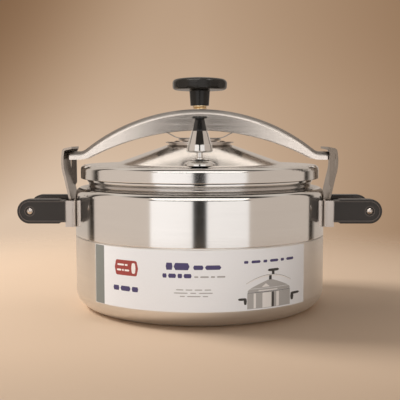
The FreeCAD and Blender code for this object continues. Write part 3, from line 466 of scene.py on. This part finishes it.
def make_leaf(material):
    """The spring strip: it lies on the foot, and its tapered arms rise to the arch."""
    corner_low, corner_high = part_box("leaf_spring")
    base, top = corner_low[2], corner_high[2]
    reach, half_width = corner_high[0], corner_high[1]
    hub, thick = 0.01085, 0.0008
    flat, bend, slope = 0.021, 0.018, math.radians(28)  # a flat, a bend, a straight rise
    narrowing, tip_bow = 0.45, 0.004
    across, along = 16, 44

    def middle_line(x):
        """The underside's height at x, and its slope there."""
        turn = math.asin(min(max((x - flat) / bend, 0), math.sin(slope)))
        height = base + bend * (1 - math.cos(turn))
        height += max(x - flat - bend * math.sin(slope), 0) * math.tan(slope)
        return height, turn

    points, faces = [], []
    for side in (1, -1):
        first = len(points)
        for row in range(along + 1):
            for column in range(across + 1):
                spread = 2 * column / across - 1
                share = row / along
                taper = 1 - narrowing * max(share - 0.35, 0) ** 1.2
                y = half_width * spread * taper
                start = math.sqrt(max(hub * hub - (half_width * spread) ** 2, 0))
                bow = tip_bow * spread * spread
                x = start + (reach - thick * math.sin(slope) - bow * share - start) * share
                height, turn = middle_line(x)
                for rise in (0, thick):
                    points.append((side * (x - rise * math.sin(turn)), y,
                                   height + rise * math.cos(turn)))
        stride = 2 * (across + 1)
        for row in range(along):
            for column in range(across):
                low = first + row * stride + 2 * column
                for level in (0, 1):
                    faces.append((low + level, low + 2 + level,
                                  low + 2 + stride + level, low + stride + level))
            for edge in (0, across):
                low = first + row * stride + 2 * edge
                faces.append((low, low + 1, low + stride + 1, low + stride))
        for column in range(across):
            tip = first + along * stride + 2 * column
            faces.append((tip, tip + 1, tip + 3, tip + 2))
            root = first + 2 * column
            if any(abs(2 * (column + end) / across - 1) * half_width < hub
                   for end in (0, 1)):
                faces.append((root, root + 1, root + 3, root + 2))
    mesh = mesh_of("leaf_spring_strip", points, faces)
    piece = add_piece("leaf_spring_strip", mesh, material, None,
                      ["leaf_spring"])
    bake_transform(piece)


def make_coil(material):
    """The safety valve's coil, from the moving plunger up to the lid."""
    corner_low, corner_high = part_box("safety_spring")
    wire, turns, steps, sides = 0.00035, 6, 28, 8
    reach = (corner_high[0] - corner_low[0]) / 2 - wire
    middle = (corner_low[1] + corner_high[1]) / 2
    base, top = corner_low[2] + wire, corner_high[2] - wire
    points = []
    for number in range(turns * steps + 1):
        angle = 2 * math.pi * number / steps
        height = base + (top - base) * number / (turns * steps)
        for side in range(sides):
            turn = 2 * math.pi * side / sides
            radius = reach + wire * math.cos(turn)
            points.append((radius * math.cos(angle), middle + radius * math.sin(angle),
                           height + wire * math.sin(turn)))
    mesh = tube("safety_spring_coil", points, sides, 80)
    piece = add_piece("safety_spring_coil", mesh, material, None,
                      ["safety_spring"])
    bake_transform(piece)


# ---------------------------------------------------------------- label

INK_THICKNESS = 0.00004
INK_LAYER = 0.00005
COLUMNS_PER_DEGREE = 1.5


def patches(name, shapes, radius, material):
    """Thin printed shapes on the wall, as one piece.

    A shape is (first degree, last degree, low, high) from the front, positive to the
    right. low and high are heights, or functions of the share along the shape.
    """
    points, faces = [], []
    for first, last, low, high in shapes:
        columns = max(int(abs(last - first) * COLUMNS_PER_DEGREE), 10)
        start = len(points)
        for column in range(columns + 1):
            share = column / columns
            angle = math.radians(first + (last - first) * share)
            ends = [level(share) if callable(level) else level for level in (low, high)]
            for reach in (radius, radius + INK_THICKNESS):
                x, y = reach * math.sin(angle), -reach * math.cos(angle)
                points += [(x, y, height) for height in ends]
        for column in range(columns):
            one = start + 4 * column
            two = one + 4
            faces += [(one, two, two + 1, one + 1), (one + 2, one + 3, two + 3, two + 2),
                      (one, one + 2, two + 2, two), (one + 1, two + 1, two + 3, one + 3)]
        end = start + 4 * columns
        faces += [(start, start + 1, start + 3, start + 2),
                  (end, end + 2, end + 3, end + 1)]
    add_piece(name, mesh_of(name, points, faces), material, "pot")


def rounded(low, high, corner, upward=True):
    """The upper or lower edge of a bar whose corners take up that share of its length."""
    def level(share):
        near_end = min(share, 1 - share) / corner
        inset = 0 if near_end >= 1 else 1 - math.sqrt(1 - (1 - near_end) ** 2)
        drop = inset * (high - low) / 2
        return high - drop if upward else low + drop
    return level


def bar(first, last, low, high, corner=0.08):
    """A bar with rounded ends, as a shape for patches."""
    return (first, last, rounded(low, high, corner, False), rounded(low, high, corner))


def line_of_bars(first, last, low, high, count, corner=0.12):
    """Blank bars in place of a line of words, of uneven lengths."""
    weights = [2.2 + math.sin(3.1 * number + first) for number in range(count)]
    gap = (last - first) * 0.05
    free = last - first - gap * (count - 1)
    bars, start = [], first
    for weight in weights:
        end = start + free * weight / sum(weights)
        bars.append(bar(start, end, low, high, corner))
        start = end + gap
    return bars


def swell(low, high, power=1.0):
    """A height that goes from low at the ends to high in the middle."""
    return lambda share: low + (high - low) * (1 - abs(2 * share - 1) ** power)


def make_label_print():
    """A grey end strip, a red badge, bars in place of words, and a small cooker."""
    (_, front, low), (_, _, high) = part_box("label_sticker")
    radius = 0.00002 - front
    ink = {
        "grey": make_print("ink_grey", (0.185, 0.20, 0.19, 1), 0.45),
        "red": make_print("ink_red", (0.30, 0.048, 0.042, 1), 0.4),
        "white": make_print("ink_white", (0.80, 0.76, 0.74, 1), 0.45),
        "blue": make_print("ink_blue", (0.055, 0.045, 0.13, 1), 0.45),
        "pale": make_print("ink_pale", (0.34, 0.33, 0.32, 1), 0.5),
        "steel": make_print("ink_steel", (0.38, 0.37, 0.36, 1), 0.4),
        "light": make_print("ink_light", (0.72, 0.70, 0.68, 1), 0.4),
        "black": make_print("ink_black", (0.035, 0.033, 0.032, 1), 0.4),
    }
    patches("label_end_strip", [(-49.7, -43.8, low + 0.0003, high - 0.0003)],
            radius, ink["grey"])
    patches("label_badge", [bar(-37.4, -25.6, 0.051, 0.0664, 0.1)], radius, ink["red"])
    patches("label_badge_lines", line_of_bars(-36, -30.6, 0.0607, 0.0625, 2)
            + line_of_bars(-36.2, -29.8, 0.0553, 0.0571, 3)
            + [bar(-28.8, -26.8, 0.0535, 0.064, 0.3)], radius + INK_LAYER, ink["white"])
    patches("label_words", line_of_bars(-38.2, -25.6, 0.0352, 0.0402, 3)
            + line_of_bars(-13.6, -4, 0.0598, 0.0668, 2)
            + line_of_bars(-2.6, 8.6, 0.0601, 0.0645, 2)
            + line_of_bars(-15, -3.2, 0.0519, 0.0561, 4)
            + line_of_bars(17.9, 42.6, 0.0650, 0.0677, 6), radius, ink["blue"])
    patches("label_small_words", line_of_bars(-2.2, 10.3, 0.0523, 0.0539, 4)
            + line_of_bars(-9.5, 4.6, 0.0398, 0.0408, 4)
            + line_of_bars(-10.5, 5.4, 0.0366, 0.0376, 3)
            + line_of_bars(-8.0, 3.4, 0.0334, 0.0344, 3), radius, ink["pale"])
    patches("label_picture_pot", [
        (19.4, 40.6, 0.0194, 0.0352),
        (19.6, 40.4, 0.0360, rounded(0.0360, 0.0392, 0.05)),
        (20.6, 39.4, 0.0396, swell(0.0397, 0.0478, 1.25)),
    ], radius, ink["steel"])
    patches("label_picture_shine", [
        (22.2, 23.2, 0.0198, 0.0348), (26.2, 30.4, 0.0198, 0.0348),
        (33.0, 34.4, 0.0198, 0.0348), (24.4, 33.6, 0.0366, 0.0376),
        (26.0, 29.6, 0.0405, swell(0.0408, 0.0440)),
        (19.0, 41.0, swell(0.0440, 0.0508, 2), swell(0.0449, 0.0524, 2)),
    ], radius + INK_LAYER, ink["light"])
    patches("label_picture_dark", [
        (30.8, 31.8, 0.0198, 0.0348), (19.5, 40.5, 0.0353, 0.0358),
        (29.3, 30.6, 0.0474, 0.0517), (30.7, 32.0, 0.0524, 0.0558),
        bar(28.6, 34.4, 0.0557, 0.0583, 0.2),
        bar(15.4, 19.1, 0.0284, 0.0308, 0.3), bar(17.9, 19.2, 0.0240, 0.0305, 0.3),
        bar(40.9, 46.6, 0.0290, 0.0315, 0.3), bar(40.9, 42.8, 0.0236, 0.0312, 0.3),
        (19.0, 41.0, swell(0.0449, 0.0524, 2), swell(0.0451, 0.0527, 2)),
    ], radius + INK_LAYER, ink["black"])


# ---------------------------------------------------------------- studio

FLOOR_COLOUR = (0.80, 0.62, 0.465, 1)


def make_floor():
    """A pale round floor that fades into the backdrop, with painted shade making it darker
    at the front.
    """
    bpy.ops.mesh.primitive_circle_add(vertices=96, radius=2.2, fill_type="NGON")
    floor = bpy.context.object
    floor.name = "floor"
    made, tree, shader = new_material("floor_paint")
    point, x, y, _ = place_of(tree)
    paint = mix(tree, noise(tree, point, 3, 3), FLOOR_COLOUR, shade_of(FLOOR_COLOUR, 0.97))
    # painted shade: the floor is darkened towards the front
    front = step(tree, y, -0.18, -0.5)
    set_shader(tree, shader, Roughness=0.7,
               Base_Color=mix(tree, front, paint, shade_of(FLOOR_COLOUR, 0.72)),
               Alpha=step(tree, length_of(tree, x, y), 0.25, 0.8, 1, 0))
    floor.data.materials.append(made)


def bands_of(*bands):
    """Ramp stops for (colour, first degree, last degree) bands of half a turn."""
    stops = []
    for colour, first, last in bands:
        stops += [(first / 180, colour), (last / 180, colour)]
    return stops


def make_backdrop(tree, x, z):
    """The tan wall that the camera sees, by the direction of view.

    It is pale low on the left; painted shade makes it darker up and to the right, and dark
    in the left corner above. The darker it is, the stronger its colour.
    """
    # painted shade: darker high up, to the right, and in the left corner above
    wall = step(tree, z, -0.14, 0.20, 0.76, 0.53)
    corner = step(tree, vary(tree, x, (z, -0.55)), -0.375, -0.13, 0.45, 1.0)
    seen_x = within(tree, x, -0.3, 0.3)
    right = calc(tree, "MINIMUM", 0.91, calc(tree, "MULTIPLY_ADD", seen_x, -1.23, 0.905))
    low_down = within(tree, calc(tree, "SUBTRACT", 0.05, z), 0, 0.16)
    tilt = calc(tree, "MULTIPLY_ADD", times(tree, seen_x, low_down), -4, 1)
    shade = times(tree, times(tree, corner, right), tilt)
    red = calc(tree, "MINIMUM", times(tree, wall, shade), 0.71)
    green = times(tree, calc(tree, "POWER", red, 1.25), 0.83)
    blue = times(tree, calc(tree, "POWER", red, 1.53), 0.68)
    return node(tree, "ShaderNodeCombineColor", {0: red, 1: green, 2: blue}).outputs[0]


def make_world():
    """A warm studio, by direction, with the backdrop in its place for the camera.

    Two tall soft boxes stand at the front with a dark gap between them. Then come a wall,
    a dark edge and a back wall, given in degrees from the front, and a pale ceiling.
    """
    world = bpy.data.worlds.new("studio")
    bpy.context.scene.world = world
    world.use_nodes = True
    tree = world.node_tree
    direction = node(tree, "ShaderNodeTexCoord").outputs["Generated"]
    x, y, z = node(tree, "ShaderNodeSeparateXYZ", {0: direction}).outputs
    turn = calc(tree, "ARCTAN2", calc(tree, "ABSOLUTE", x), times(tree, y, -1))
    uneven = times(tree, x, step(tree, turn, 1.2, 1.8, 0, -0.02))
    around = plus(tree, calc(tree, "DIVIDE", turn, math.pi), uneven)
    box, gap = (1.02, 0.97, 0.94, 1), (0.02, 0.018, 0.016, 1)
    wall, back = (0.60, 0.515, 0.45, 1), (0.53, 0.46, 0.40, 1)
    edge, dark = (0.02, 0.016, 0.012, 1), (0.03, 0.026, 0.022, 1)
    rear = (edge, 113.5, 119), (back, 127, 180)
    low_sides = ramp(tree, around, bands_of(
        (gap, 0, 5.5), (box, 6.5, 43), (wall, 45, 112.5), *rear))
    high_sides = ramp(tree, around, bands_of((dark, 0, 44), (wall, 48, 112.5), *rear))
    sides = mix(tree, step(tree, z, 0.24, 0.30), low_sides, high_sides)
    overhead = mix(tree, step(tree, y, -0.15, 0.15), dark, (0.62, 0.56, 0.50, 1))
    studio = mix(tree, step(tree, z, 0.60, 0.72), sides, overhead)
    slant = step(tree, x, -1, 1, 1.12, 0.94)
    camera_ray = node(tree, "ShaderNodeLightPath").outputs["Is Camera Ray"]
    other_ray = calc(tree, "SUBTRACT", 1, camera_ray)
    backdrop = make_backdrop(tree, x, z)
    strength = calc(tree, "MAXIMUM", camera_ray, times(tree, other_ray, slant))
    background = node(tree, "ShaderNodeBackground",
                      {"Color": mix(tree, camera_ray, studio, backdrop),
                       "Strength": strength})
    tree.links.new(background.outputs[0], tree.nodes["World Output"].inputs["Surface"])


def make_lamp(name, size, energy, colour, place, target):
    """A rectangular soft light, aimed at a target."""
    light = bpy.data.lights.new(name, "AREA")
    light.shape = "RECTANGLE"
    light.size, light.size_y = size
    light.energy = energy
    light.color = colour
    lamp = bpy.data.objects.new(name, light)
    bpy.context.scene.collection.objects.link(lamp)
    lamp.location = place
    aim = Vector(target) - lamp.location
    lamp.rotation_euler = aim.to_track_quat("-Z", "Y").to_euler()
    return lamp


def light_only(lamp, pieces):
    """Let the lamp light these pieces and nothing else."""
    lit = bpy.data.collections.new("lit_by_" + lamp.name)
    for piece in pieces:
        lit.objects.link(piece)
    lamp.light_linking.receiver_collection = lit


def make_lights():
    """A key light from the left and behind, a front fill, and a box above the camera.

    Key and fill only light matt surfaces. The floor stays out of the fill and the box,
    and the small chromed weight stays out of the box. A strip above lights the edges of
    the handles and the knob, and two panels in front only show in the arch.
    """
    white = (1, 0.95, 0.9)
    key = make_lamp("key", (0.5, 0.5), 19.5, (1, 0.955, 0.90),
                    (-1.1, 0.38, 0.98), (0.05, 0, 0.05))
    fill = make_lamp("fill", (1.0, 0.8), 7, (0.97, 0.99, 1),
                     (-0.55, -1.3, 0.6), (0, 0, 0.08))
    box = make_lamp("top", (1.5, 0.55), 4, white, (0, -0.8, 0.75), (0, -0.1, 0.12))
    rim = make_lamp("rim", (1.2, 0.25), 6, white, (0, -0.25, 1.1), (0, 0, 0.1))
    sheens = [make_lamp("sheen", (0.2, 0.5), 0.15, white,
                        (0.25 * side, -1.6, 0.2), (0.1 * side, 0, 0.2))
              for side in (-1, 1)]
    key.visible_glossy = fill.visible_glossy = False
    for lamp in (box, rim, *sheens):
        lamp.visible_camera = False
    weight = frame["record"]["behaviour"]["bodies"]["weight"]
    pieces = list(CAD.values()) + PIECES
    light_only(fill, pieces)
    light_only(box, [piece for piece in pieces if piece.name not in weight])
    light_only(rim, [CAD[name] for name in CAD
                     if name.startswith("handle_") or name == "knob"])
    for sheen in sheens:
        light_only(sheen, [CAD["arch_bridge"]])


def make_camera():
    """A camera in front, level with the lid's cone, looking slightly down."""
    data = bpy.data.cameras.new("camera")
    data.sensor_width = 36
    data.lens = 67.5
    data.shift_x = 0.0008
    camera = bpy.data.objects.new("camera", data)
    bpy.context.scene.collection.objects.link(camera)
    distance, height, degrees_down = 0.862, 0.187, 4.65
    camera.location = (0, -distance, height)
    camera.rotation_euler = (math.radians(90 - degrees_down), 0, 0)
    bpy.context.scene.camera = camera


def make_studio():
    """Everything round the cooker, and a plain view transform."""
    view = bpy.context.scene.view_settings
    view.view_transform = "Standard"
    view.look = "None"
    make_floor()
    make_world()
    make_lights()
    make_camera()


# ---------------------------------------------------------------- build

MATERIALS = make_materials()
dress_cad(MATERIALS)
make_screw(MATERIALS["brass"])
make_leaf(MATERIALS["spring_steel"])
make_coil(MATERIALS["spring_steel"])
make_label_print()
make_studio()
